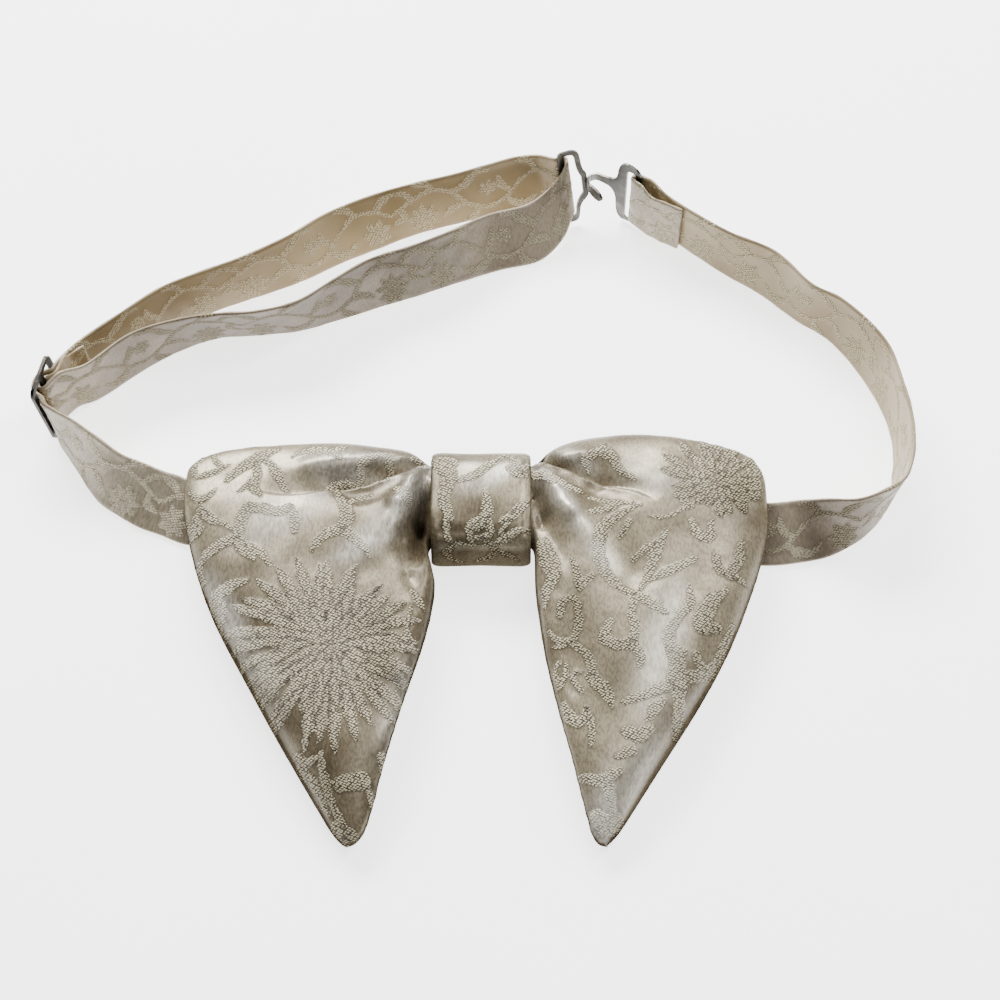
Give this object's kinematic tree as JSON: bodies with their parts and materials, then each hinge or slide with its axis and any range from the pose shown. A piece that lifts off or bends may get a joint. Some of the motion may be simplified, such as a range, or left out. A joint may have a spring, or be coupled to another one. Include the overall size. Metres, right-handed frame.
{
  "type": "bow tie",
  "caption": "Pre-tied brocade bow tie with long pointed padded wings, a wrapped knot and an adjustable hook-and-eye neck strap, lying flat.",
  "frame": {"origin": "on the flat back of the knot, on the surface that the tie lies on", "axes": "+X along the bow to the right wing as seen from the front, +Y from the bow up to the neck loop, +Z out of the surface towards the viewer"},
  "size_m": [0.255, 0.2222, 0.0241],
  "materials": {
    "bow_brocade": "ivory and grey floral brocade, satin ground with raised threads",
    "strap_brocade": "ivory brocade ribbon with a soft sheen",
    "nickel": "worn nickel plate",
    "gunmetal": "dark plated wire, satin"
  },
  "bodies": {
    "root": {"left_wing": "bow_brocade", "right_wing": "bow_brocade", "knot_band": "bow_brocade", "left_strap": "strap_brocade", "right_strap": "strap_brocade", "slider": "gunmetal", "eye_ring": "nickel", "hook_plate": "nickel"}
  },
  "joints": []
}
